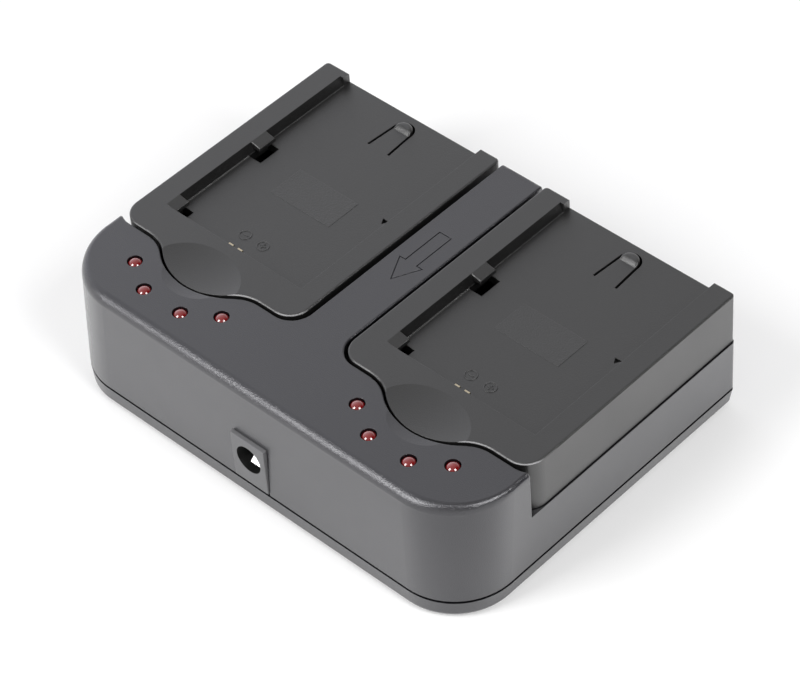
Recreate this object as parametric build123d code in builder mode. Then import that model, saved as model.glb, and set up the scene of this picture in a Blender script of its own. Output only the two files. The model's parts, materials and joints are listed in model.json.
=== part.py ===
from build123d import *
from math import cos, radians, sin, sqrt
import os

os.makedirs("parts", exist_ok=True)

# All sizes in mm. X runs along the front, Y to the back, Z up from the table.
# Positions called "back from the front" are measured from the front wall.

# Case
case_width = 108.4
case_depth = 79.4
case_wall = 2.0
front_corner = 13.6
dock_corner = 14.6
back_corner = 1.2
front_lean = 1.1
foot_height = 0.8
seam_height = 5.0
seam_gap = 0.6
seam_rebate = 0.8
deck_height = 17.4
dock_height = 29.3
dock_round = 2.2
end_round = 0.9
end_sharpness = 1.8
crown_angles = (0, 20, 40, 55, 70, 82, 90)
edge_round = 0.4
tray_floor = 2.0
tray_lean = 0.5
tray_front_lean = 0.1
tray_round = 0.8
lip_height = 0.55
lip_thick = 1.2
lip_play = 0.15

# Adapter plates, one per bay
plate_pitch = 60.0
plate_width = 47.8
plate_top = 29.8
plate_front = 19.85
plate_corner = 4.5
plate_heel = 0.9
plate_skirt = 1.8
plate_back_play = 0.1
deck_play = 0.2
front_play = 0.4
bridge_play = 0.85
bay_flare = 2.0
plate_travel = 7.0
slide_play = 0.3
wave_depth = 5.5
wave_reach = 15.4
wave_bulge = 15.3

# Battery pocket on top of a plate
pocket_depth = 2.33
pocket_front = 27.5
pocket_length = 50.0
pocket_floor_thick = 1.87
pocket_root = 0.4
rail_width = 5.3
rail_lean = 0.75
lip_width = 5.0
cap_width = 6.1
tab_reach = 2.45
tab_drop = 0.6
tab_thick = 0.85
tab_round = 0.3
front_tab = 3.9
mid_tab_from = 23.9
mid_tab_length = 4.4
hole_reach = 4.0
front_hole = 3.4
mid_hole_from = 22.3
mid_hole_length = 5.35
tongue_x = 1.05
tongue_root = 11.5
tongue_shoulder = 4.2
tongue_root_half = 2.75
tongue_half = 2.25
tongue_slit = 0.55
bump_height = 0.8
bump_width = 2.4
bump_set = 0.65
bump_shift = -0.35
mark_x = 16.6
mark_y = 53.2
mark_size = 1.7
mark_depth = 0.8

# Thumb dish over the edge between plate and dock
dish_y = 16.8
dish_depth = 0.9
dish_half_x = 10.5
dish_half_y = 8.1

# Arrow cut in the bridge: the way a plate slides to lock
arrow_tail = 56.5
arrow_neck = 46.6
arrow_tip = 40.9
arrow_shaft_half = 1.5
arrow_head_half = 2.95
arrow_line = 0.22
arrow_depth = 0.15

# Plate base, hooks and contacts
base_thick = 1.6
base_play = 0.15
hook_x = 13.0
hook_rows_in = (21.85, 13.6)
hook_width = 3.0
hook_stem = 3.0
hook_toe = 4.0
hook_thick = 1.2
plate_screw_x = 18.5
plate_screw_rows_in = (15.85, 6.6)
plate_post = 5.0
contact_x = 1.23
contact_width = 1.2
contact_thick = 0.5
contact_height = 28.57
contact_out = 1.15
contact_leg_back = 2.4
contact_slot = 1.8
contact_roof = 0.6
pad_x = 2.2
pad_width = 3.0
pad_margin = 1.5
pad_recess = 0.4
pad_play = 0.1
pin_y = 35.2
pin_tip_gap = 0.25
pin_plunger = 1.3
pin_barrel = 2.4
pin_barrel_length = 8.2
pin_hole_play = 0.4

# Status lamps
lamp_spots = ((-12.05, 12.6), (-5.04, 8.3), (5.04, 8.3), (12.05, 12.6))
lamp_diameter = 3.0
lamp_play = 0.1
lamp_flange = 3.8
lamp_flange_thick = 1.0
lamp_length = 5.3
lamp_proud = 0.5

# Power jack
jack_width = 8.9
jack_height = 11.6
jack_length = 14.2
jack_proud = 0.3
jack_edge = 0.2
jack_bore = 6.3
jack_bore_height = 6.75
jack_bore_depth = 10.0
jack_play = 0.15
jack_pin = 2.1
jack_pin_set = 2.4
jack_spring_width = 2.8
jack_spring_thick = 0.4
jack_spring_set = 1.7
jack_spring_low = 2.75
jack_spring_high = 1.25

# Boards and what stands on them
board_top = 5.35
board_thick = 1.6
board_side_in = 10.0
board_front = 4.0
board_back_in = 11.4
board_screws_in = (4.5, 16.0, 6.0)
standoff = 5.0
lamp_board_side_in = 9.7
lamp_board_front = 4.0
lamp_board_back = 20.0
lamp_board_play = 0.6
lamp_board_screws_at = ((-30.0, 5.9), (0.0, 10.0), (30.0, 5.9))
lamp_boss = 4.0
ribbon_x = 11.0
ribbon_y = 9.0
ribbon_width = 10.0
ribbon_thick = 0.9
capacitor_x = 22.0
capacitor_y = 8.2
capacitor_diameter = 8.0
capacitor_length = 11.5
coil_y = 24.0
coil_diameter = 10.0
coil_height = 5.5
chip_y = 48.0
chip_size = (5.0, 4.0, 1.6)
chip_lead = (0.4, 1.0, 0.5)
chip_lead_pitch = 1.27

# Screws and feet
front_screws_in = (7.6, 9.0)
back_screws_in = (6.1, 6.7)
case_post = 6.0
case_screw = 2.6
case_head = 5.0
case_head_thick = 1.8
case_bore_roof = 2.0
case_screw_length = 10.0
small_screw = 2.0
small_head = 3.8
small_head_thick = 1.3
small_length = 4.5
flush_head = 3.8
flush_head_thick = 1.0
screw_play = 0.1
post_play = 0.6
foot_diameter = 9.0
foot_recess = 0.5
front_feet_in = (18.1, 8.5)
back_feet_in = (16.1, 8.4)

# Values that follow from the sizes above
front_y = jack_proud - (case_depth + jack_proud) / 2
plate_bottom = deck_height + deck_play
plate_back = case_depth - plate_back_play
half_plate = plate_width / 2
half_case = case_width / 2
crown_foot = dock_height - dock_round
hook_rows = (plate_front + hook_rows_in[0], plate_back - hook_rows_in[1])
plate_screw_rows = (plate_front + plate_screw_rows_in[0], plate_back - plate_screw_rows_in[1])
bay_top = max(plate_top, dock_height)
deck_under = deck_height - case_wall
dock_under = dock_height - case_wall
pocket_floor = plate_top - pocket_depth
plate_ceiling = pocket_floor - pocket_floor_thick
base_top = plate_bottom + base_thick
pad_under = plate_bottom + pad_recess
pad_front = pin_y - plate_travel - pad_margin
pad_length = plate_travel + 2 * pad_margin
board_under = board_top - board_thick
tray_top = foot_height + tray_floor
case_column = case_head + 2 * case_wall
board_half = half_case - board_side_in
board_back = case_depth - board_back_in
lamp_board_half = half_case - lamp_board_side_in
board_screws_at = [
    (s * (board_half - board_screws_in[0]), y)
    for y in (board_front + board_screws_in[1], board_back - board_screws_in[2])
    for s in (-1, 1)
]
case_screws_at = [
    (s * (half_case - inward), y)
    for inward, y in (front_screws_in, (back_screws_in[0], case_depth - back_screws_in[1]))
    for s in (-1, 1)
]
feet_at = {
    "front_left_foot": (front_feet_in[0] - half_case, front_feet_in[1]),
    "front_right_foot": (half_case - front_feet_in[0], front_feet_in[1]),
    "back_left_foot": (back_feet_in[0] - half_case, case_depth - back_feet_in[1]),
    "back_right_foot": (half_case - back_feet_in[0], case_depth - back_feet_in[1]),
}
lamp_base = dock_height + lamp_proud - lamp_length
lamp_board_under = lamp_base - board_thick
rail_edge = rail_width - half_plate
rail_root = rail_edge + rail_lean
lip_edge = half_plate - lip_width
bays = {"left": -plate_pitch / 2, "right": plate_pitch / 2}
bottom_centre = (Align.CENTER, Align.CENTER, Align.MIN)
top_centre = (Align.CENTER, Align.CENTER, Align.MAX)
wave_radii = (wave_reach**2 + wave_depth**2) / (2 * wave_depth)


def at(x, y, z):
    """A point from its distance back from the front wall."""
    return (x, front_y + y, z)


def level(z, x=0.0):
    """Plan plane at a height: sketch Y is the distance back from the front."""
    return Plane(origin=at(x, 0, z))


def cross(y, x=0.0):
    """Upright plane across the case: sketch Y is the height."""
    return Plane(origin=at(x, y, 0), x_dir=(1, 0, 0), z_dir=(0, -1, 0))


def along(x):
    """Upright plane front to back: sketch X is the distance back, Y the height."""
    return Plane(origin=at(x, 0, 0), x_dir=(0, 1, 0), z_dir=(1, 0, 0))


def case_outline(inset, lean=0.0, heel=back_corner, corner=front_corner):
    """Plan of the case, this far inside its outer faces."""
    x = half_case - inset
    front = inset + lean
    back = case_depth - inset
    r = corner - inset
    with BuildLine() as outline:
        CenterArc((r - x, front + r), r, 180, 90)
        Line((r - x, front), (x - r, front))
        CenterArc((x - r, front + r), r, 270, 90)
        Line((x, front + r), (x, back - heel))
        Line((x - heel, back), (heel - x, back))
        Line((-x, back - heel), (-x, front + r))
        if heel:
            CenterArc((x - heel, back - heel), heel, 0, 90)
            CenterArc((heel - x, back - heel), heel, 90, 90)
    make_face(outline.edges())


def plate_outline(grow, left, right, back, x=0.0, mode=Mode.ADD):
    """Plan of a plate grown by an even amount, with its wavy front edge."""
    corner = plate_corner + grow
    front = plate_front - grow
    bulge = wave_bulge + grow
    hollow = wave_radii - bulge
    bulge_y = plate_front - wave_depth + wave_bulge
    hollow_y = plate_front - wave_radii + wave_bulge
    ux = wave_reach / wave_radii
    uy = (hollow_y - bulge_y) / wave_radii
    jx = bulge * ux
    jy = bulge_y + bulge * uy
    norm = sqrt(ux**2 + (1 - uy) ** 2)
    mx = wave_reach - hollow * ux / norm
    my = hollow_y + hollow * (1 - uy) / norm
    left = x + left
    right = x + right
    with BuildLine() as outline:
        ThreePointArc((x - jx, jy), (x, bulge_y - bulge), (x + jx, jy))
        ThreePointArc((x + jx, jy), (x + mx, my), (x + wave_reach, front))
        Line((x + wave_reach, front), (right - corner, front))
        CenterArc((right - corner, front + corner), corner, 270, 90)
        Polyline((right, front + corner), (right, back), (left, back), (left, front + corner))
        CenterArc((left + corner, front + corner), corner, 180, 90)
        Line((left + corner, front), (x - wave_reach, front))
        ThreePointArc((x - wave_reach, front), (x - mx, my), (x - jx, jy))
    make_face(outline.edges(), mode=mode)


def bay_outline(x, grow, mode=Mode.ADD):
    """Plan of a bay: it is open at the back and at the outer side."""
    inner = half_plate + bridge_play + grow
    outer = half_plate + bay_flare + grow
    left = -outer if x < 0 else -inner
    right = inner if x < 0 else outer
    plate_outline(front_play + grow, left, right, case_depth + plate_corner, x, mode)


def thumb_dish(x):
    """Shallow round hollow across the joint of plate and dock."""
    low = plate_top - dish_depth
    radius_x = dish_half_x**2 / (2 * dish_depth)
    radius_y = dish_half_y**2 / (2 * dish_depth)
    rise = radius_x - sqrt(radius_x**2 - dish_half_x**2)
    with BuildSketch(cross(dish_y, x)) as bowl:
        with BuildLine():
            ThreePointArc((-dish_half_x, low + rise), (0, low), (dish_half_x, low + rise))
            Polyline(
                (dish_half_x, low + rise),
                (dish_half_x, low + radius_y),
                (-dish_half_x, low + radius_y),
                (-dish_half_x, low + rise),
            )
        make_face()
    centre = at(x, dish_y, low + radius_y)
    revolve(bowl.sketch, axis=Axis(centre, (1, 0, 0)), mode=Mode.SUBTRACT)


def keep(builder, node):
    """Name a finished piece and write it out."""
    builder.part.label = node
    export_step(builder.part, f"parts/{node}.step")


# Top cover: dock with the lamps, bridge between the bays and a deck under each plate
with BuildPart() as top_cover:
    with BuildSketch(level(seam_height)):
        case_outline(0, heel=0)
    with BuildSketch(level(crown_foot)):
        case_outline(0, front_lean, heel=0, corner=dock_corner)
    loft(ruled=True)
    # Crown: its edge is rounder along the front than at the ends
    for angle in crown_angles:
        z = crown_foot + dock_round * sin(radians(angle))
        part_in = 1 - cos(radians(angle))
        front = dock_round * part_in
        end = end_round * part_in**end_sharpness
        with BuildSketch(level(z)):
            corner = dock_corner - (front - end) / 2
            case_outline(end, front_lean + front - end, heel=0, corner=corner)
    loft()
    with BuildSketch(level(deck_height)):
        for x in bays.values():
            bay_outline(x, 0)
    extrude(amount=bay_top - deck_height, mode=Mode.SUBTRACT)
    # Soft edge round the bays on the dock and the bridge
    rim = top_cover.edges().filter_by_position(Axis.Z, dock_height - 0.01, dock_height + 0.01)
    rim_front = front_y + plate_front - wave_depth - 3 * front_play
    rim = rim.filter_by(lambda e: e.center().Y > rim_front)
    rim = rim.filter_by(lambda e: abs(e.center().X) < half_case - end_round - edge_round)
    fillet(rim, edge_round)
    with BuildSketch(level(seam_height)):
        for x in (-half_case, half_case):
            with Locations((x, case_depth)):
                Rectangle(2 * back_corner, 2 * back_corner)
        with Locations((0, case_depth / 2)):
            RectangleRounded(case_width, case_depth, back_corner, mode=Mode.SUBTRACT)
    extrude(amount=deck_height - seam_height, mode=Mode.SUBTRACT)
    with BuildSketch(level(dock_height - arrow_depth)):
        with BuildLine():
            Polyline(
                (-arrow_shaft_half, arrow_tail),
                (-arrow_shaft_half, arrow_neck),
                (-arrow_head_half, arrow_neck),
                (0, arrow_tip),
                (arrow_head_half, arrow_neck),
                (arrow_shaft_half, arrow_neck),
                (arrow_shaft_half, arrow_tail),
                close=True,
            )
        trace(line_width=arrow_line)
    extrude(amount=arrow_depth, mode=Mode.SUBTRACT)
    # Room inside, under the decks and up into the dock and the bridge
    with BuildSketch(level(seam_height)):
        case_outline(case_wall)
    extrude(amount=deck_under - seam_height, mode=Mode.SUBTRACT)
    with BuildSketch(level(deck_under)):
        case_outline(case_wall, front_lean)
        for x in bays.values():
            bay_outline(x, case_wall, Mode.SUBTRACT)
    extrude(amount=dock_under - deck_under, mode=Mode.SUBTRACT)
    # Posts for the case screws and bosses for the lamp board
    for x, y in case_screws_at:
        roof = dock_under if y < plate_front else deck_under
        with Locations(at(x, y, seam_height)):
            Cylinder(case_post / 2, roof - seam_height, align=bottom_centre)
            Cylinder(
                (case_screw + screw_play) / 2,
                case_screw_length,
                align=bottom_centre,
                mode=Mode.SUBTRACT,
            )
    for x, y in lamp_board_screws_at:
        with Locations(at(x, y, lamp_base)):
            Cylinder(lamp_boss / 2, dock_under - lamp_base, align=bottom_centre)
            Cylinder(
                (small_screw + screw_play) / 2,
                dock_under - lamp_base,
                align=bottom_centre,
                mode=Mode.SUBTRACT,
            )
    # Ways through: lamps, power jack, plate hooks and spring pins
    for x in bays.values():
        with Locations(*[at(x + lx, ly, dock_under) for lx, ly in lamp_spots]):
            Cylinder(
                lamp_diameter / 2 + lamp_play,
                2 * case_wall,
                align=bottom_centre,
                mode=Mode.SUBTRACT,
            )
        slot_length = hook_stem + plate_travel + 2 * slide_play
        with Locations(
            *[
                at(x + side * hook_x, row - slide_play + slot_length / 2, deck_height)
                for side in (-1, 1)
                for row in hook_rows
            ]
        ):
            Box(hook_width + 2 * slide_play, slot_length, 2 * case_wall + 1, mode=Mode.SUBTRACT)
        with Locations(*[at(x + side * pad_x, pin_y, deck_height) for side in (-1, 1)]):
            Cylinder(pin_plunger / 2 + pin_hole_play, 2 * case_wall + 1, mode=Mode.SUBTRACT)
        thumb_dish(x)
    with Locations(at(0, 0, seam_height)):
        Box(
            jack_width + 2 * jack_play,
            2 * (case_wall + front_lean + jack_play),
            2 * (board_top + jack_height + jack_play - seam_height),
            mode=Mode.SUBTRACT,
        )
keep(top_cover, "top_cover")

# Bottom cover: shallow tray with a lip inside the top cover and standoffs for the board
with BuildPart() as bottom_cover:
    with BuildSketch(level(foot_height)):
        case_outline(tray_lean, tray_front_lean - tray_lean)
    with BuildSketch(level(seam_height - seam_gap)):
        case_outline(0)
    loft(ruled=True)
    fillet(bottom_cover.faces().sort_by(Axis.Z)[0].edges(), tray_round)
    with BuildSketch(level(seam_height - seam_gap)):
        case_outline(seam_rebate)
    extrude(amount=seam_gap)
    with BuildSketch(level(seam_height)):
        case_outline(case_wall + lip_play)
    extrude(amount=lip_height)
    with BuildSketch(level(tray_top)):
        case_outline(case_wall + lip_play + lip_thick)
    extrude(amount=seam_height + lip_height - tray_top, mode=Mode.SUBTRACT)
    # Room in the lip for the jack, and a sill that closes the jack's notch under it
    with Locations(at(0, 0, board_top - jack_play)):
        Box(
            jack_width + 2 * jack_play,
            2 * (case_wall + lip_play + lip_thick + jack_play),
            lip_height,
            align=(Align.CENTER, Align.CENTER, Align.MIN),
            mode=Mode.SUBTRACT,
        )
    with Locations(at(0, seam_rebate, seam_height)):
        Box(
            jack_width,
            case_wall,
            board_top - jack_play - seam_height,
            align=(Align.CENTER, Align.MIN, Align.MIN),
        )
    # Columns for the case screws, with the heads sunk from below
    for x, y in case_screws_at:
        with Locations(at(x, y, foot_height)):
            Cylinder(case_column / 2, seam_height - foot_height, align=bottom_centre)
            Cylinder(
                (case_head + 2 * screw_play) / 2 + lip_play,
                seam_height - case_bore_roof - foot_height,
                align=bottom_centre,
                mode=Mode.SUBTRACT,
            )
            Cylinder(
                case_screw / 2 + 2 * screw_play,
                seam_height,
                align=bottom_centre,
                mode=Mode.SUBTRACT,
            )
        # Room round the column for the post above it
        with Locations(at(x, y, seam_height)):
            Cylinder(
                case_post / 2 + post_play,
                lip_height,
                align=bottom_centre,
                mode=Mode.SUBTRACT,
            )
    for x, y in board_screws_at:
        with Locations(at(x, y, tray_top)):
            Cylinder(standoff / 2, board_under - tray_top, align=bottom_centre)
            Cylinder(
                (small_screw + screw_play) / 2,
                board_under - tray_top,
                align=bottom_centre,
                mode=Mode.SUBTRACT,
            )
    with Locations(*[at(x, y, foot_height) for x, y in feet_at.values()]):
        Cylinder(foot_diameter / 2, foot_recess, align=bottom_centre, mode=Mode.SUBTRACT)
keep(bottom_cover, "bottom_cover")

# Rubber feet in their recesses
for node, (x, y) in feet_at.items():
    with BuildPart() as foot:
        with Locations(at(x, y, 0)):
            Cylinder(foot_diameter / 2, foot_height + foot_recess, align=bottom_centre)
        chamfer(foot.edges().sort_by(Axis.Z)[0], edge_round)
    keep(foot, node)

# Screws that close the case from below
with BuildPart() as case_screws:
    with Locations(*[at(x, y, seam_height - case_bore_roof) for x, y in case_screws_at]):
        Cylinder(case_head / 2, case_head_thick, align=top_centre)
        Cylinder(case_screw / 2, case_screw_length, align=bottom_centre)
keep(case_screws, "case_screws")

# Main board on the tray's standoffs
with BuildPart() as main_board:
    with BuildSketch(level(board_under)):
        with Locations((0, (board_front + board_back) / 2)):
            Rectangle(2 * board_half, board_back - board_front)
        with Locations(*case_screws_at[:2]):
            Circle(case_column / 2 + post_play, mode=Mode.SUBTRACT)
        with Locations(*board_screws_at):
            Circle(small_screw / 2 + screw_play, mode=Mode.SUBTRACT)
    extrude(amount=board_thick)
keep(main_board, "main_board")

with BuildPart() as board_screws:
    with Locations(*[at(x, y, board_top) for x, y in board_screws_at]):
        Cylinder(small_head / 2, small_head_thick, align=bottom_centre)
        Cylinder(small_screw / 2, board_top - tray_top, align=top_centre)
keep(board_screws, "board_screws")

# Board that carries the lamps, screwed up under the dock
with BuildPart() as lamp_board:
    with BuildSketch(level(lamp_board_under)):
        with Locations((0, (lamp_board_front + lamp_board_back) / 2)):
            Rectangle(2 * lamp_board_half, lamp_board_back - lamp_board_front)
        for x in bays.values():
            bay_outline(x, case_wall + lamp_board_play, Mode.SUBTRACT)
        with Locations(*case_screws_at[:2]):
            Circle(case_post / 2 + post_play, mode=Mode.SUBTRACT)
        with Locations(*lamp_board_screws_at):
            Circle(small_screw / 2 + screw_play, mode=Mode.SUBTRACT)
    extrude(amount=board_thick)
keep(lamp_board, "lamp_board")

with BuildPart() as lamp_board_screws:
    with Locations(*[at(x, y, lamp_board_under) for x, y in lamp_board_screws_at]):
        Cylinder(small_head / 2, small_head_thick, align=top_centre)
        Cylinder(small_screw / 2, small_length - screw_play, align=bottom_centre)
keep(lamp_board_screws, "lamp_board_screws")

with BuildPart() as lamp_ribbon:
    with Locations(at(ribbon_x, ribbon_y, board_top)):
        Box(ribbon_width, ribbon_thick, lamp_board_under - board_top, align=bottom_centre)
keep(lamp_ribbon, "lamp_ribbon")

# Status lamps: flange on the board, round end just proud of the dock
for side, x in bays.items():
    for number, (lx, ly) in enumerate(lamp_spots, 1):
        with BuildPart() as lamp:
            with BuildSketch(cross(ly, x + lx)):
                r = lamp_diameter / 2
                with BuildLine():
                    Polyline(
                        (0, lamp_base + lamp_length),
                        (0, lamp_base),
                        (lamp_flange / 2, lamp_base),
                        (lamp_flange / 2, lamp_base + lamp_flange_thick),
                        (r, lamp_base + lamp_flange_thick),
                        (r, lamp_base + lamp_length - r),
                    )
                    CenterArc((0, lamp_base + lamp_length - r), r, 0, 90)
                make_face()
            revolve(axis=Axis(at(x + lx, ly, 0), (0, 0, 1)))
        keep(lamp, f"{side}_lamp_{number}")

# Power jack on the board's front edge
with BuildPart() as jack_housing:
    with Locations(at(0, -jack_proud, board_top)):
        Box(
            jack_width,
            jack_length,
            jack_height,
            align=(Align.CENTER, Align.MIN, Align.MIN),
        )
    mouth = jack_housing.faces().sort_by(Axis.Y)[0]
    fillet(mouth.edges(), jack_edge)
    with BuildSketch(cross(-jack_proud)):
        with Locations((0, board_top + jack_bore_height)):
            Circle(jack_bore / 2)
    extrude(amount=-jack_bore_depth, mode=Mode.SUBTRACT)
keep(jack_housing, "jack_housing")

with BuildPart() as jack_pin_part:
    with BuildSketch(cross(jack_bore_depth - jack_proud)):
        with Locations((0, board_top + jack_bore_height)):
            Circle(jack_pin / 2)
    extrude(amount=jack_bore_depth - jack_pin_set)
    chamfer(jack_pin_part.faces().sort_by(Axis.Y)[0].edges(), jack_pin / 4)
keep(jack_pin_part, "jack_pin")

# Spring for the plug's sleeve: a ramp at the bore's floor, held in its end wall
with BuildPart() as jack_sleeve:
    with BuildSketch(along(-jack_spring_width / 2)):
        axis = board_top + jack_bore_height
        start = jack_spring_set - jack_proud
        low = axis - jack_spring_low
        high = axis - jack_spring_high
        top = start + high - low
        Polygon(
            (start, low),
            (top, high),
            (jack_bore_depth - jack_proud, high),
            (jack_bore_depth - jack_proud, high - jack_spring_thick),
            (top, high - jack_spring_thick),
            (start + jack_spring_thick, low),
            align=None,
        )
    extrude(amount=jack_spring_width)
keep(jack_sleeve, "jack_sleeve")

# One charging channel per bay: smoothing capacitor, coil, control chip and spring pins
for side, x in bays.items():
    sign = -1 if x < 0 else 1
    with BuildPart() as capacitor:
        with BuildSketch(cross(capacitor_y, sign * capacitor_x)):
            r = capacitor_diameter / 2
            top = board_top + capacitor_length
            groove = board_top + capacitor_length / 6
            with BuildLine():
                Polyline(
                    (0, board_top),
                    (r, board_top),
                    (r, groove - edge_round),
                    (r - edge_round, groove),
                    (r, groove + edge_round),
                    (r, top - edge_round),
                    (r - edge_round, top),
                    (0, top),
                    close=True,
                )
            make_face()
        revolve(axis=Axis(at(sign * capacitor_x, capacitor_y, 0), (0, 0, 1)))
    keep(capacitor, f"{side}_capacitor")

    with BuildPart() as coil:
        with BuildSketch(cross(coil_y, x)):
            r = coil_diameter / 2
            flange = coil_height / 5
            top = board_top + coil_height
            with BuildLine():
                Polyline(
                    (0, board_top),
                    (r, board_top),
                    (r, board_top + flange),
                    (r - flange, board_top + flange),
                    (r - flange, top - flange),
                    (r, top - flange),
                    (r, top),
                    (0, top),
                    close=True,
                )
            make_face()
        revolve(axis=Axis(at(x, coil_y, 0), (0, 0, 1)))
    keep(coil, f"{side}_coil")

    with BuildPart() as chip:
        with Locations(at(x, chip_y, board_top)):
            Box(*chip_size, align=bottom_centre)
            with GridLocations(chip_lead_pitch, 0, 3, 1):
                Box(
                    chip_lead[0],
                    chip_size[1] + 2 * chip_lead[1],
                    chip_lead[2],
                    align=bottom_centre,
                )
    keep(chip, f"{side}_chip")

    with BuildPart() as spring_pins:
        for across in (-pad_x, pad_x):
            with BuildSketch(cross(pin_y, x + across)):
                tip = pad_under - pin_tip_gap
                shoulder = board_top + pin_barrel_length
                with BuildLine():
                    Polyline(
                        (0, tip),
                        (0, board_top),
                        (pin_barrel / 2, board_top),
                        (pin_barrel / 2, shoulder),
                        (pin_plunger / 2, shoulder),
                        (pin_plunger / 2, tip - pin_plunger / 3),
                        (pin_plunger / 4, tip),
                        close=True,
                    )
                make_face()
            revolve(axis=Axis(at(x + across, pin_y, 0), (0, 0, 1)))
    keep(spring_pins, f"{side}_spring_pins")

# Adapter plates: moulded pocket with undercut tabs on one rail and a spring tongue
for side, x in bays.items():
    screw_spots = [(s * plate_screw_x, row) for s in (-1, 1) for row in plate_screw_rows]
    with BuildPart() as plate:
        with BuildSketch(level(plate_bottom, x)):
            plate_outline(0, -half_plate, half_plate, plate_back)
        extrude(amount=plate_top - plate_bottom)
        uprights = plate.edges().filter_by(Axis.Z)
        fillet(uprights.filter_by(lambda e: e.center().Y > front_y + plate_back - 0.1), plate_heel)
        fillet(plate.faces().sort_by(Axis.Z)[-1].edges(), edge_round)
        # Pocket: leaning wall beside the tabs, then upright walls out through the back
        with BuildSketch(cross(pocket_front, x)) as section:
            Polygon(
                (rail_edge, plate_top + 1),
                (rail_edge, plate_top),
                (rail_root, pocket_floor),
                (lip_edge, pocket_floor),
                (lip_edge, plate_top + 1),
                align=None,
            )
            roots = section.vertices().group_by(Axis.Y)[0]
            fillet(roots, pocket_root)
        extrude(amount=-pocket_length, mode=Mode.SUBTRACT)
        with BuildSketch(cross(pocket_front + pocket_length / 2, x)):
            Polygon(
                (cap_width - half_plate, plate_top + 1),
                (cap_width - half_plate, pocket_floor),
                (lip_edge, pocket_floor),
                (lip_edge, plate_top + 1),
                align=None,
            )
        extrude(amount=-case_depth, mode=Mode.SUBTRACT)
        # Undercut tabs on the rail
        for start, length in ((-edge_round, front_tab + edge_round), (mid_tab_from, mid_tab_length)):
            with BuildSketch(cross(pocket_front + start, x)):
                tip = rail_edge + tab_reach
                Polygon(
                    (rail_edge - edge_round, plate_top - tab_drop - tab_thick),
                    (tip, plate_top - tab_drop - tab_thick),
                    (tip, plate_top - tab_drop),
                    (rail_edge, plate_top),
                    (rail_edge - edge_round, plate_top),
                    align=None,
                )
            extrude(amount=-length)
            slope = plate.faces().filter_by(lambda f: f.normal_at().X > 0.1 and f.normal_at().Z > 0.9)
            slope = slope.sort_by(lambda f: abs(f.center().Y - front_y - pocket_front - start - length / 2))
            outer = slope[0].edges().filter_by(lambda e: e.center().X > x + rail_edge + edge_round)
            fillet(outer, tab_round)
        # Room inside and posts for the base's screws
        with BuildSketch(level(plate_bottom, x)):
            plate_outline(
                -plate_skirt,
                plate_skirt - half_plate,
                half_plate - plate_skirt,
                plate_back - plate_skirt,
            )
        extrude(amount=plate_ceiling - plate_bottom, mode=Mode.SUBTRACT)
        for sx, sy in screw_spots:
            with Locations(at(x + sx, sy, base_top)):
                Cylinder(plate_post / 2, plate_ceiling - base_top, align=bottom_centre)
                Cylinder(
                    (small_screw + screw_play) / 2,
                    small_length,
                    align=bottom_centre,
                    mode=Mode.SUBTRACT,
                )
        # Openings under the tabs, spring tongue and mark in the pocket's floor
        with BuildSketch(level(plate_ceiling - 1, x)):
            for start, length in ((0, front_hole), (mid_hole_from, mid_hole_length)):
                with Locations((rail_root, pocket_front + start)):
                    Rectangle(
                        hole_reach - rail_lean,
                        length,
                        align=(Align.MIN, Align.MIN),
                    )
        extrude(amount=pocket_floor_thick + 1 + tab_thick, mode=Mode.SUBTRACT)
        with BuildSketch(level(plate_ceiling - 1, x)):
            root = plate_back - tongue_root
            shoulder = plate_back - tongue_shoulder
            with BuildLine():
                Line((tongue_x - tongue_root_half, root), (tongue_x - tongue_half, shoulder))
                CenterArc((tongue_x, shoulder), tongue_half, 0, 180)
                Line((tongue_x + tongue_half, shoulder), (tongue_x + tongue_root_half, root))
            trace(line_width=tongue_slit)
        extrude(amount=pocket_floor_thick + 2, mode=Mode.SUBTRACT)
        with BuildSketch(cross(plate_back - tongue_shoulder + bump_set, x + tongue_x + bump_shift)) as bump:
            half = bump_width / 2
            ball = (half**2 + bump_height**2) / (2 * bump_height)
            crest = pocket_floor + bump_height
            slant = (half * sqrt(0.5), crest - ball + sqrt(ball**2 - half**2 / 2))
            with BuildLine():
                ThreePointArc((0, crest), slant, (half, pocket_floor))
                Polyline(
                    (half, pocket_floor),
                    (half, pocket_floor - bump_height),
                    (0, pocket_floor - bump_height),
                    (0, crest),
                )
            make_face()
        hub = at(x + tongue_x + bump_shift, plate_back - tongue_shoulder + bump_set, 0)
        revolve(axis=Axis(hub, (0, 0, 1)))
        with BuildSketch(level(pocket_floor - mark_depth, x)):
            with Locations((mark_x, mark_y)):
                RegularPolygon(mark_size * 0.577, 3, rotation=-90)
        extrude(amount=mark_depth, mode=Mode.SUBTRACT)
        # Slots for the battery contacts in the pocket's front wall
        slot_length = contact_leg_back + contact_thick
        with Locations(*[at(x + s * contact_x, pocket_front, plate_ceiling) for s in (-1, 1)]):
            Box(
                contact_slot,
                slot_length,
                plate_top - contact_roof - plate_ceiling,
                align=(Align.CENTER, Align.MAX, Align.MIN),
                mode=Mode.SUBTRACT,
            )
        thumb_dish(x)
    keep(plate, f"{side}_plate")

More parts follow.
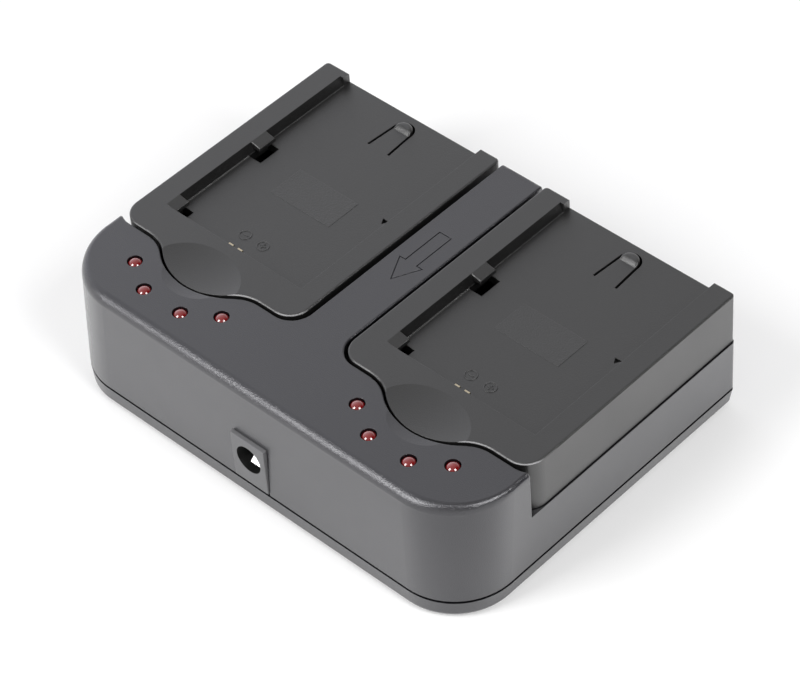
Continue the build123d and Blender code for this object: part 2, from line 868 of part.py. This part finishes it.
    with BuildPart() as base:
        with BuildSketch(level(plate_bottom, x)):
            inset = plate_skirt + base_play
            plate_outline(-inset, inset - half_plate, half_plate - inset, plate_back - inset)
            with Locations(*[(s * pad_x, pad_front + pad_length / 2) for s in (-1, 1)]):
                Rectangle(pad_width + 2 * pad_play, pad_length + 2 * pad_play, mode=Mode.SUBTRACT)
        extrude(amount=base_thick)
        hook_top = deck_under - deck_play
        for s in (-1, 1):
            for row in hook_rows:
                with Locations(at(x + s * hook_x, row, plate_bottom)):
                    Box(
                        hook_width,
                        hook_stem,
                        plate_bottom - hook_top,
                        align=(Align.CENTER, Align.MIN, Align.MAX),
                    )
                with Locations(at(x + s * hook_x, row - hook_toe, hook_top)):
                    Box(
                        hook_width,
                        hook_stem + hook_toe,
                        hook_thick,
                        align=(Align.CENTER, Align.MIN, Align.MAX),
                    )
        for sx, sy in screw_spots:
            with Locations(at(x + sx, sy, plate_bottom)):
                Cylinder(
                    small_screw / 2 + screw_play,
                    base_thick,
                    align=bottom_centre,
                    mode=Mode.SUBTRACT,
                )
                Cone(
                    flush_head / 2 + screw_play,
                    small_screw / 2 + screw_play,
                    flush_head_thick,
                    align=bottom_centre,
                    mode=Mode.SUBTRACT,
                )
    keep(base, f"{side}_plate_base")

    with BuildPart() as plate_screws:
        with Locations(*[at(x + sx, sy, plate_bottom) for sx, sy in screw_spots]):
            Cone(flush_head / 2, small_screw / 2, flush_head_thick, align=bottom_centre)
            Cylinder(small_screw / 2, base_thick + small_length - screw_play, align=bottom_centre)
    keep(plate_screws, f"{side}_plate_screws")

    for pole, s in (("negative", -1), ("positive", 1)):
        with BuildPart() as contact:
            with BuildSketch(along(x + s * contact_x - contact_width / 2)) as strip:
                leg = pocket_front - contact_leg_back
                tip = pocket_front + contact_out
                low = contact_height - contact_thick / 2
                high = contact_height + contact_thick / 2
                Polygon(
                    (leg, base_top),
                    (pad_front + contact_width, base_top),
                    (pad_front + contact_width, base_top + contact_thick),
                    (leg + contact_thick, base_top + contact_thick),
                    (leg + contact_thick, low),
                    (tip, low),
                    (tip, high),
                    (leg, high),
                    align=None,
                )
                ends = strip.vertices().filter_by(lambda v: v.X > tip - 0.1)
                fillet(ends, contact_thick * 0.45)
            extrude(amount=contact_width)
            with Locations(at(x + s * pad_x, pad_front, pad_under)):
                Box(
                    pad_width,
                    pad_length,
                    base_top + contact_thick - pad_under,
                    align=(Align.CENTER, Align.MIN, Align.MIN),
                )
        keep(contact, f"{side}_{pole}_contact")
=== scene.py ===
import bpy
import bmesh
import json
from math import cos, pi, sin
from mathutils import Euler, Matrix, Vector


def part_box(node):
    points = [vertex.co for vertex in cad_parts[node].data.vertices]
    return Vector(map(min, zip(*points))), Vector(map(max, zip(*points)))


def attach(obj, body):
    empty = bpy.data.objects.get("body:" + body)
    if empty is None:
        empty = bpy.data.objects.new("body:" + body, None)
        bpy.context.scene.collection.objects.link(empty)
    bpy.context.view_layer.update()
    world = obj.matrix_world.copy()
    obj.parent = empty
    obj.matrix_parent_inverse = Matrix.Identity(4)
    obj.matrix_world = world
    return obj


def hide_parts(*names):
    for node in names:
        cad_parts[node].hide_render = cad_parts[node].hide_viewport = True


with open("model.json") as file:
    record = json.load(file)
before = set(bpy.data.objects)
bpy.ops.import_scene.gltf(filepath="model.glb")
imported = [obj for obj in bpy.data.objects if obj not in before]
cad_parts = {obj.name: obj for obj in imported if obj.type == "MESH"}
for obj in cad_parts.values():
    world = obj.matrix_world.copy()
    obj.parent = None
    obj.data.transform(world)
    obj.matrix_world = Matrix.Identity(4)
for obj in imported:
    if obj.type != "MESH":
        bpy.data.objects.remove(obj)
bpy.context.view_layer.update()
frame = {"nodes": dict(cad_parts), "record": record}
nodes = frame["nodes"]
MM = 0.001

# Plastic: patches of uneven sheen, and grain that is stronger on edges than on flat and upright faces
patch_scale = 90.0
patch_swing = 0.03
patch_span = (0.3, 0.7)
grain_detail = 2.0
grain_rough = 0.6
grain_on_edges = 0.75
grain_on_faces = 0.35
flat_span = (0.93, 0.99)
upright_span = (0.15, 0.3)
bevel_samples = 6
skin_ior = 1.7

# Dull places: the parting line, the leaning rail walls (by their normal) and the arrow's groove
dull_fade = 0.05 * MM
seam_low = 4.38 * MM
seam_high = 5.02 * MM
rail_wall = (0.9555, 0.0, 0.295)
rail_span = (0.985, 0.995)
arrow_half = 3.4 * MM
arrow_low = 29.15 * MM
arrow_high = 29.25 * MM
arrow_fade = 0.04 * MM

# Painted highlight on the plates' front rim, on the parts that face the front right
rim_back = -11.5 * MM
rim_fade = 0.5 * MM
rim_side = (0.64, -0.77, 0.0)
rim_span = (0.5, 0.9)
rim_highlight_colour = (0.8, 0.8, 0.82)

# Power jack: its bore, and where the painted shade in the bore ends
jack_axis_height = 12.1 * MM
jack_bore_radius = 3.15 * MM
bore_edge = 0.01 * MM
bore_fade = 0.05 * MM
bore_shade_colour = (0.004, 0.004, 0.004)

# Adapter plates: x is from a plate's middle, y and z are in the frame
plate_centres = {"left": -30.0 * MM, "right": 30.0 * MM}
pocket_floor = 27.47 * MM
mark_places = {"minus": (-2.0 * MM, -6.65 * MM), "plus": (2.95 * MM, -6.7 * MM)}
mark_radius = 1.4 * MM
mark_width = 0.3 * MM
mark_height = 0.1 * MM
stroke_long = 1.4 * MM
stroke_wide = 0.32 * MM
stroke_edge = 0.06 * MM
field_x = 1.1 * MM
field_y = 9.65 * MM
field_long = 16.1 * MM
field_wide = 8.6 * MM
field_height = 0.05 * MM
field_edge = 0.03 * MM
nose_x = 1.05 * MM
nose_y = 35.55 * MM
nose_radius = 2.1 * MM
nose_height = 0.83 * MM
nose_sink = 0.05 * MM
nose_root = 0.3 * MM
nose_ramp_front = -0.75 * MM
nose_ramp_back = 0.6 * MM
nose_flatness = 8
nose_steps = 14
plate_turns = 56

# Status lamps
lamps_per_side = 4
lamp_radius = 1.5 * MM
lamp_flange = 1.9 * MM
lamp_flange_thick = 1.0 * MM
dome_rise = 0.9 * MM
dome_drop = 0.25 * MM
dome_steps = 9
lamp_turns = 48

# Floor: how bright it is to the camera, and how bright the object mirrors it, with a painted contact
# shadow next to the case
floor_size = 4.0
floor_colour = (0.7, 0.7, 0.7)
floor_seen = 0.27
floor_mirrored_front = 0.205
floor_mirrored_side = 0.44
mirror_way = (0.7, 0.7, 0.0)
mirror_span = (-0.03, 0.05)
floor_dim = 0.15
dim_way = (0.7, -0.7, 0.0)
dim_span = (0.06, 0.085)
# Painted contact shadow in the mirrored floor next to the case
contact_shadow_level = 0.5
contact_shadow_reach = 6.0 * MM
case_half_width = 54.2 * MM
case_half_depth = 39.6 * MM

# Room: pale at the horizon, with a bright and a dark side
horizon_level = 1.1
overhead_level = 0.38
overhead_from = 0.5
bright_level = 0.66
bright_focus = 4.0
bright_colour = (0.975, 0.985, 1.04)
room_colour = (1.0, 0.99, 0.985)
bright_side = (-0.85, 0.25, 0.45)
dark_side = (0.92, 0.25, 0.24)
dark_level = 0.04
dark_span = (0.45, 0.75)

# Camera
camera_place = (325.78 * MM, -306.20 * MM, 462.66 * MM)
camera_turn = (0.77799, 0.06020, 0.75191)
camera_lens = 145.56
camera_sensor = 36.0


# Shader nodes

def new_material(name):
    mat = bpy.data.materials.new(name)
    mat.use_nodes = True
    tree = mat.node_tree
    return mat, tree.nodes, tree.links, tree.nodes["Principled BSDF"]


def object_place(nt):
    return nt.new("ShaderNodeTexCoord").outputs["Object"]


def noise(nt, ln, coord, scale, detail=3.0, rough=0.55):
    n = nt.new("ShaderNodeTexNoise")
    n.inputs["Scale"].default_value = scale
    n.inputs["Detail"].default_value = detail
    n.inputs["Roughness"].default_value = rough
    ln.new(coord, n.inputs["Vector"])
    return n.outputs["Fac"]


def remap(nt, ln, value, low, high, start=0.0, end=1.0):
    n = nt.new("ShaderNodeMapRange")
    n.inputs["From Min"].default_value = start
    n.inputs["From Max"].default_value = end
    n.inputs["To Min"].default_value = low
    n.inputs["To Max"].default_value = high
    ln.new(value, n.inputs["Value"])
    return n.outputs["Result"]


def two_colours(nt, ln, fac, a, b):
    n = nt.new("ShaderNodeValToRGB")
    n.color_ramp.elements[0].color = (*a, 1)
    n.color_ramp.elements[1].color = (*b, 1)
    ln.new(fac, n.inputs["Fac"])
    return n.outputs["Color"]


def combine(nt, ln, operation, *values):
    """Sockets or plain numbers, joined from left to right by one operation."""
    made = values[0]
    for value in values[1:]:
        n = nt.new("ShaderNodeMath")
        n.operation = operation
        ln.new(made, n.inputs[0])
        if isinstance(value, float):
            n.inputs[1].default_value = value
        else:
            ln.new(value, n.inputs[1])
        made = n.outputs[0]
    return made


def absolute(nt, ln, value):
    n = nt.new("ShaderNodeMath")
    n.operation = "ABSOLUTE"
    ln.new(value, n.inputs[0])
    return n.outputs[0]


def along(nt, ln, vector, direction):
    """How far a vector goes in a direction."""
    n = nt.new("ShaderNodeVectorMath")
    n.operation = "DOT_PRODUCT"
    n.inputs[1].default_value = direction
    ln.new(vector, n.inputs[0])
    return n.outputs["Value"]


def axes(nt, ln, vector):
    n = nt.new("ShaderNodeSeparateXYZ")
    ln.new(vector, n.inputs[0])
    return n.outputs["X"], n.outputs["Y"], n.outputs["Z"]


def mixed(nt, ln, fac):
    """Colour mix: its node, with the share of B linked."""
    n = nt.new("ShaderNodeMix")
    n.data_type = "RGBA"
    ln.new(fac, n.inputs["Factor"])
    return n


def rough_skin(nt, ln, bsdf, height, distance, strength=0.4):
    n = nt.new("ShaderNodeBump")
    n.inputs["Strength"].default_value = strength
    n.inputs["Distance"].default_value = distance
    ln.new(height, n.inputs["Height"])
    ln.new(n.outputs["Normal"], bsdf.inputs["Normal"])


def speckle(nt, ln, bsdf, scale, dark, light, rough_low, rough_high):
    """Colour and roughness that vary together in fine specks."""
    fac = noise(nt, ln, object_place(nt), scale)
    ln.new(two_colours(nt, ln, fac, dark, light), bsdf.inputs["Base Color"])
    ln.new(remap(nt, ln, fac, rough_low, rough_high), bsdf.inputs["Roughness"])
    return fac


# Materials

def dull_places(nt, ln, coord):
    """Matt places, with no gloss: the parting line, the arrow's groove and each rail's leaning wall."""
    x, y, z = axes(nt, ln, coord)
    seam = combine(
        nt, ln, "MULTIPLY",
        remap(nt, ln, z, 0.0, 1.0, seam_low, seam_low + dull_fade),
        remap(nt, ln, z, 1.0, 0.0, seam_high - dull_fade, seam_high),
    )
    face = nt.new("ShaderNodeNewGeometry").outputs["True Normal"]
    wall = remap(nt, ln, along(nt, ln, face, rail_wall), 0.0, 1.0, *rail_span)
    groove = combine(
        nt, ln, "MULTIPLY",
        remap(nt, ln, absolute(nt, ln, x), 1.0, 0.0, arrow_half, arrow_half + dull_fade),
        remap(nt, ln, y, 0.0, 1.0, -dull_fade, 0.0),
        remap(nt, ln, z, 0.0, 1.0, arrow_low - dull_fade, arrow_low),
        remap(nt, ln, z, 1.0, 0.0, arrow_high, arrow_high + arrow_fade),
    )
    return combine(nt, ln, "MAXIMUM", seam, wall, groove)


def painted_rim_highlight(nt, ln, colour, coord, even, highlight_share):
    """Painted highlight: a paler edge along the front rim, on the parts that face the front right."""
    y = axes(nt, ln, coord)[1]
    front = remap(nt, ln, y, 1.0, 0.0, rim_back - rim_fade, rim_back)
    normal = nt.new("ShaderNodeNewGeometry").outputs["Normal"]
    facing = remap(nt, ln, along(nt, ln, normal, rim_side), 0.0, 1.0, *rim_span)
    edge = combine(nt, ln, "MULTIPLY", remap(nt, ln, even, highlight_share, 0.0), front, facing)
    mix = mixed(nt, ln, edge)
    mix.inputs["B"].default_value = (*rim_highlight_colour, 1)
    ln.new(colour, mix.inputs["A"])
    return mix.outputs["Result"]


def plastic(
    name, dark, light, rough, coat, gloss,
    grain=0.24 * MM, depth=0.1 * MM, round_edge=0.1 * MM, highlight_share=0.0, tint=(1.0, 1.0, 1.0),
):
    """Moulded plastic: spark-eroded grain, uneven sheen and softened edges."""
    mat, nt, ln, bsdf = new_material(name)
    coord = object_place(nt)
    broad = noise(nt, ln, coord, patch_scale, grain_detail)
    fine = noise(nt, ln, coord, 1.0 / grain, grain_detail, grain_rough)
    sheen = remap(nt, ln, broad, rough - patch_swing, rough + patch_swing, *patch_span)
    ln.new(sheen, bsdf.inputs["Roughness"])
    bevel = nt.new("ShaderNodeBevel")
    bevel.samples = bevel_samples
    bevel.inputs["Radius"].default_value = round_edge
    up = axes(nt, ln, nt.new("ShaderNodeNewGeometry").outputs["Normal"])[2]
    flat = remap(nt, ln, up, 0.0, 1.0, *flat_span)
    upright = remap(nt, ln, up, 1.0, 0.0, *upright_span)
    even = combine(nt, ln, "MAXIMUM", flat, upright)
    colour = two_colours(nt, ln, broad, dark, light)
    # Painted highlight along the plates' front rim
    if highlight_share:
        colour = painted_rim_highlight(nt, ln, colour, coord, even, highlight_share)
    ln.new(colour, bsdf.inputs["Base Color"])
    bump = nt.new("ShaderNodeBump")
    bump.inputs["Distance"].default_value = depth
    ln.new(remap(nt, ln, even, grain_on_edges, grain_on_faces), bump.inputs["Strength"])
    ln.new(fine, bump.inputs["Height"])
    ln.new(bevel.outputs["Normal"], bump.inputs["Normal"])
    ln.new(bump.outputs["Normal"], bsdf.inputs["Normal"])
    ln.new(bump.outputs["Normal"], bsdf.inputs["Coat Normal"])
    ln.new(remap(nt, ln, dull_places(nt, ln, coord), coat, 0.0), bsdf.inputs["Coat Weight"])
    bsdf.inputs["Coat Roughness"].default_value = gloss
    bsdf.inputs["Coat IOR"].default_value = skin_ior
    bsdf.inputs["Specular Tint"].default_value = (*tint, 1)
    return mat


def metal(name, dark, light, rough, below=0.05, above=0.07, scale=900.0):
    mat, nt, ln, bsdf = new_material(name)
    speckle(nt, ln, bsdf, scale, dark, light, rough - below, rough + above)
    bsdf.inputs["Metallic"].default_value = 1.0
    return mat


def plain(name, dark, light, rough, swing=0.06, scale=600.0, depth=0.01 * MM):
    mat, nt, ln, bsdf = new_material(name)
    fac = speckle(nt, ln, bsdf, scale, dark, light, rough - swing, rough + swing)
    rough_skin(nt, ln, bsdf, fac, depth)
    return mat


def lens(name, dark, light, rough, swing=0.02, scale=700.0, gloss=0.06, ior=1.8):
    """Tinted epoxy under a polished skin."""
    mat, nt, ln, bsdf = new_material(name)
    speckle(nt, ln, bsdf, scale, dark, light, rough - swing, rough + swing)
    bsdf.inputs["Coat Weight"].default_value = 1.0
    bsdf.inputs["Coat Roughness"].default_value = gloss
    bsdf.inputs["Coat IOR"].default_value = ior
    return mat


def jack(
    name, dark, light, rough_low, rough_high, scale=900.0, grain_scale=3500.0, depth=0.02 * MM,
):
    """Grey moulded housing, with its bore painted near black as shade."""
    mat, nt, ln, bsdf = new_material(name)
    coord = object_place(nt)
    from_axis = nt.new("ShaderNodeVectorMath")
    from_axis.operation = "SUBTRACT"
    from_axis.inputs[1].default_value = (0, 0, jack_axis_height)
    ln.new(coord, from_axis.inputs[0])
    across = nt.new("ShaderNodeVectorMath")
    across.operation = "MULTIPLY"
    across.inputs[1].default_value = (1, 0, 1)
    ln.new(from_axis.outputs[0], across.inputs[0])
    away = nt.new("ShaderNodeVectorMath")
    away.operation = "LENGTH"
    ln.new(across.outputs[0], away.inputs[0])
    # The bore is painted near black: painted shade inside the hole
    dark_end = jack_bore_radius + bore_edge
    outside = remap(nt, ln, away.outputs["Value"], 0.0, 1.0, dark_end, dark_end + bore_fade)
    fac = noise(nt, ln, coord, scale)
    mix = mixed(nt, ln, outside)
    mix.inputs["A"].default_value = (*bore_shade_colour, 1)
    ln.new(two_colours(nt, ln, fac, dark, light), mix.inputs["B"])
    ln.new(mix.outputs["Result"], bsdf.inputs["Base Color"])
    ln.new(remap(nt, ln, fac, rough_low, rough_high), bsdf.inputs["Roughness"])
    rough_skin(nt, ln, bsdf, noise(nt, ln, coord, grain_scale, grain_detail), depth)
    return mat


finish = {
    "case_plastic": plastic(
        "case_plastic", (0.004, 0.004, 0.0046), (0.0055, 0.0055, 0.0065), 0.40,
        coat=1.0, gloss=0.21, round_edge=0.08 * MM, tint=(0.87, 0.86, 1.0),
    ),
    "plate_plastic": plastic(
        "plate_plastic", (0.0025, 0.0024, 0.0024), (0.0035, 0.0034, 0.0034), 0.46,
        coat=0.8, gloss=0.36, highlight_share=0.45,
    ),
    "jack_plastic": jack("jack_plastic", (0.125, 0.125, 0.13), (0.16, 0.16, 0.165), 0.42, 0.55),
    "foot_rubber": plain("foot_rubber", (0.012, 0.012, 0.012), (0.02, 0.02, 0.02), 0.75),
    "steel": metal("steel", (0.42, 0.42, 0.43), (0.58, 0.58, 0.6), 0.3),
    "gold": metal("gold", (0.54, 0.46, 0.33), (0.70, 0.62, 0.46), 0.3),
    "bright_metal": metal("bright_metal", (0.86, 0.86, 0.87), (0.93, 0.93, 0.94), 0.3),
    "board": plain("board", (0.012, 0.10, 0.045), (0.02, 0.14, 0.065), 0.4),
    "ribbon": plain("ribbon", (0.24, 0.24, 0.26), (0.32, 0.32, 0.34), 0.5),
    "can": metal("can", (0.5, 0.5, 0.52), (0.62, 0.62, 0.64), 0.28),
    "ferrite": plain("ferrite", (0.04, 0.04, 0.043), (0.07, 0.07, 0.075), 0.7),
    "chip": plain("chip", (0.012, 0.012, 0.012), (0.02, 0.02, 0.02), 0.55),
    "lamp_red": lens("lamp_red", (0.15, 0.003, 0.004), (0.21, 0.006, 0.007), 0.12),
}
field_mat = plastic(
    "field_plastic", (0.004, 0.004, 0.004), (0.006, 0.006, 0.006), 0.46,
    coat=0.8, gloss=0.34, grain=0.3 * MM, depth=0.26 * MM,
)
for part in frame["record"]["subparts"]:
    obj = nodes[part["node"]]
    obj.data.materials.clear()
    obj.data.materials.append(finish[part["material_slot"]])


# Pieces

def add_piece(name, bm, material, body):
    bmesh.ops.recalc_face_normals(bm, faces=bm.faces)
    mesh = bpy.data.meshes.new(name)
    bm.to_mesh(mesh)
    bm.free()
    obj = bpy.data.objects.new(name, mesh)
    bpy.context.scene.collection.objects.link(obj)
    mesh.materials.append(material)
    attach(obj, body)
    return obj


def circle(turns):
    return [(cos(2 * pi * i / turns), sin(2 * pi * i / turns)) for i in range(turns)]


def neighbours(rows):
    return zip(rows, rows[1:] + rows[:1])


def side_faces(bm, rows, smooth_from):
    """Quads between each row of points and the next, all the way round."""
    for here, after in neighbours(rows):
        for j in range(len(here) - 1):
            face = bm.faces.new((here[j], after[j], after[j + 1], here[j + 1]))
            face.smooth = j >= smooth_from


def end_faces(bm, rows, tip):
    """Flat bottom over the rows' first points, and a fan from their last points to the tip."""
    bm.faces.new([row[0] for row in rows])
    for here, after in neighbours(rows):
        bm.faces.new((here[-1], after[-1], tip)).smooth = True


def ring(bm, x, y, z, outer, width, height):
    """Low embossed ring: a bevelled section turned round (x, y)."""
    inner = outer - width
    edge = 0.3 * width
    shoulder = 0.6 * height
    section = [(inner, -height), (inner, shoulder), (inner + edge, height)]
    section += [(outer - edge, height), (outer, shoulder), (outer, -height)]
    rows = []
    for c, d in circle(plate_turns):
        row = [bm.verts.new((x + r * c, y + r * d, z + h)) for r, h in section]
        rows.append(row + row[:1])
    side_faces(bm, rows, smooth_from=len(section))


def bar(bm, x, y, z, long, wide, height, edge):
    """Low embossed bar with bevelled edges."""
    made = bmesh.ops.create_cube(bm, size=1.0)["verts"]
    bmesh.ops.scale(bm, verts=made, vec=(long, wide, 2 * height))
    bmesh.ops.translate(bm, verts=made, vec=(x, y, z))
    edges = list({e for v in made for e in v.link_edges})
    bmesh.ops.bevel(bm, geom=edges, offset=edge, segments=2, profile=0.5, affect="EDGES")


def polarity_mark(sign, x, y):
    """Plus or minus in a ring."""
    bm = bmesh.new()
    ring(bm, x, y, pocket_floor, mark_radius, mark_width, mark_height)
    bar(bm, x, y, pocket_floor, stroke_long, stroke_wide, mark_height, stroke_edge)
    if sign == "plus":
        bar(bm, x, y, pocket_floor, stroke_wide, stroke_long, mark_height, stroke_edge)
    return bm


def field(x, y):
    """Bare field, hardly raised."""
    bm = bmesh.new()
    bar(bm, x, y, pocket_floor, field_long, field_wide, field_height, field_edge)
    return bm


def tongue_nose(x, y):
    """Nose on the tip of a spring tongue: a ramp at the front, full height over the round end."""
    bm = bmesh.new()

    def height(part, v):
        run = (v - nose_ramp_front) / (nose_ramp_back - nose_ramp_front)
        run = min(1.0, max(0.0, run))
        share = sin(0.5 * pi * run) * (1 - part**nose_flatness) ** 0.5
        return pocket_floor + (nose_height + nose_sink) * share - nose_sink

    rows = []
    for c, d in circle(plate_turns):
        out_x = nose_radius * c
        out_y = nose_radius * d
        row = [bm.verts.new((x + out_x, y + out_y, pocket_floor - nose_root))]
        for j in range(nose_steps, 0, -1):
            part = sin(0.5 * pi * j / nose_steps)
            row.append(bm.verts.new((x + part * out_x, y + part * out_y, height(part, part * out_y))))
        rows.append(row)
    side_faces(bm, rows, smooth_from=1)
    end_faces(bm, rows, bm.verts.new((x, y, height(0.0, 0.0))))
    return bm


def lamp_solid(x, y, low, high):
    """Turned lamp: flange on its board, round stem and a shallow dome."""
    bm = bmesh.new()
    ball = (lamp_radius * lamp_radius + dome_rise * dome_rise) / (2 * dome_rise)
    flange_top = low + lamp_flange_thick
    section = [(lamp_flange, low), (lamp_flange, flange_top), (lamp_radius, flange_top)]
    dome_start = len(section)
    section.append((lamp_radius, high - dome_rise))
    for i in range(1, dome_steps):
        r = lamp_radius * (1 - i / dome_steps)
        section.append((r, high - ball + (ball * ball - r * r) ** 0.5))
    rows = []
    for c, d in circle(lamp_turns):
        rows.append([bm.verts.new((x + r * c, y + r * d, z)) for r, z in section])
    side_faces(bm, rows, smooth_from=dome_start)
    end_faces(bm, rows, bm.verts.new((x, y, high)))
    return bm


plate_mat = finish["plate_plastic"]
for side, centre in plate_centres.items():
    body = side + "_adapter"
    for sign, (x, y) in mark_places.items():
        mark = polarity_mark(sign, centre + x, y)
        add_piece(side + "_" + sign + "_mark", mark, plate_mat, body)
    add_piece(side + "_field", field(centre + field_x, field_y), field_mat, body)
    nose = tongue_nose(centre + nose_x, nose_y)
    add_piece(side + "_tongue_nose", nose, plate_mat, body)

for side in plate_centres:
    for number in range(1, lamps_per_side + 1):
        node = side + "_lamp_" + str(number)
        low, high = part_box(node)
        middle = 0.5 * (low + high)
        lamp = lamp_solid(middle.x, middle.y, low.z, high.z - dome_drop)
        obj = add_piece(node + "_lens", lamp, finish["lamp_red"], "case")
        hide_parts(node)


# Floor, light and camera

def floor_material():
    """Pale floor. In the object it is mirrored brighter to the back right than to the front left, dim past
    the front right corner, and dimmer next to the case, which is a painted contact shadow."""
    mat, nt, ln, bsdf = new_material("floor")
    out = nt["Material Output"]
    nt.remove(bsdf)
    diffuse = nt.new("ShaderNodeBsdfDiffuse")
    diffuse.inputs["Color"].default_value = (*floor_colour, 1)
    path = nt.new("ShaderNodeLightPath").outputs
    mirror = combine(nt, ln, "MAXIMUM", path["Is Glossy Ray"], path["Is Transmission Ray"])
    coord = object_place(nt)
    sideways = along(nt, ln, coord, mirror_way)
    level = remap(nt, ln, sideways, floor_mirrored_front, floor_mirrored_side, *mirror_span)
    dim = remap(nt, ln, along(nt, ln, coord, dim_way), 1.0, floor_dim, *dim_span)
    x, y, _ = axes(nt, ln, coord)
    # Painted contact shadow: what the object mirrors of the floor is dimmer next to the case
    contact_shadow_parts = []
    for value, half in ((x, case_half_width), (y, case_half_depth)):
        away = absolute(nt, ln, value)
        contact_shadow_parts.append(remap(nt, ln, away, contact_shadow_level, 1.0, half, half + contact_shadow_reach))
    contact_shadow = combine(nt, ln, "MAXIMUM", *contact_shadow_parts)
    shown = combine(nt, ln, "MULTIPLY", mirror, level, dim, contact_shadow)
    seen = remap(nt, ln, path["Is Camera Ray"], 0.0, floor_seen)
    glow = nt.new("ShaderNodeEmission")
    ln.new(combine(nt, ln, "ADD", seen, shown), glow.inputs["Strength"])
    both = nt.new("ShaderNodeAddShader")
    ln.new(diffuse.outputs[0], both.inputs[0])
    ln.new(glow.outputs[0], both.inputs[1])
    ln.new(both.outputs[0], out.inputs["Surface"])
    return mat


def sky():
    """Pale room: a bright side at the back left, a pale horizon, darker to the right."""
    world = bpy.data.worlds.new("studio")
    bpy.context.scene.world = world
    world.use_nodes = True
    nt = world.node_tree.nodes
    ln = world.node_tree.links
    aim = nt.new("ShaderNodeTexCoord").outputs["Generated"]

    def towards(direction):
        return along(nt, ln, aim, Vector(direction).normalized())

    horizon = remap(nt, ln, towards((0, 0, 1)), horizon_level, overhead_level, 0.0, overhead_from)
    lit = combine(nt, ln, "MAXIMUM", towards(bright_side), 0.0)
    side = combine(nt, ln, "POWER", lit, bright_focus)
    shade = remap(nt, ln, towards(dark_side), 1.0, dark_level, *dark_span)
    light = combine(nt, ln, "ADD", horizon, combine(nt, ln, "MULTIPLY", side, bright_level))
    background = nt["Background"].inputs
    ln.new(combine(nt, ln, "MULTIPLY", light, shade), background["Strength"])
    ln.new(two_colours(nt, ln, side, room_colour, bright_colour), background["Color"])


def soft_box(name, direction, distance, width, height, radiance):
    """Area lamp that faces the object; its power follows from its brightness."""
    lamp = bpy.data.lights.new(name, "AREA")
    lamp.shape = "RECTANGLE"
    lamp.size = width
    lamp.size_y = height
    lamp.energy = radiance * pi * width * height
    obj = bpy.data.objects.new(name, lamp)
    aim = Vector(direction).normalized()
    obj.location = aim * distance
    obj.rotation_euler = aim.to_track_quat("Z", "Y").to_euler()
    bpy.context.scene.collection.objects.link(obj)


bm = bmesh.new()
bmesh.ops.create_grid(bm, x_segments=2, y_segments=2, size=floor_size)
mesh = bpy.data.meshes.new("floor")
bm.to_mesh(mesh)
bm.free()
floor = bpy.data.objects.new("floor", mesh)
bpy.context.scene.collection.objects.link(floor)
mesh.materials.append(floor_material())

sky()
soft_box("key_left", (-0.27, -0.70, 0.65), distance=1.0, width=0.38, height=0.56, radiance=9.6)
soft_box("key_right", (0.72, -0.04, 0.69), distance=1.0, width=0.38, height=0.54, radiance=9.8)

camera = bpy.data.cameras.new("camera")
camera.sensor_width = camera_sensor
camera.lens = camera_lens
camera.clip_start = 10 * MM
eye = bpy.data.objects.new("camera", camera)
eye.location = camera_place
eye.rotation_euler = Euler(camera_turn)
bpy.context.scene.collection.objects.link(eye)
bpy.context.scene.camera = eye
bpy.context.scene.view_settings.view_transform = "Standard"
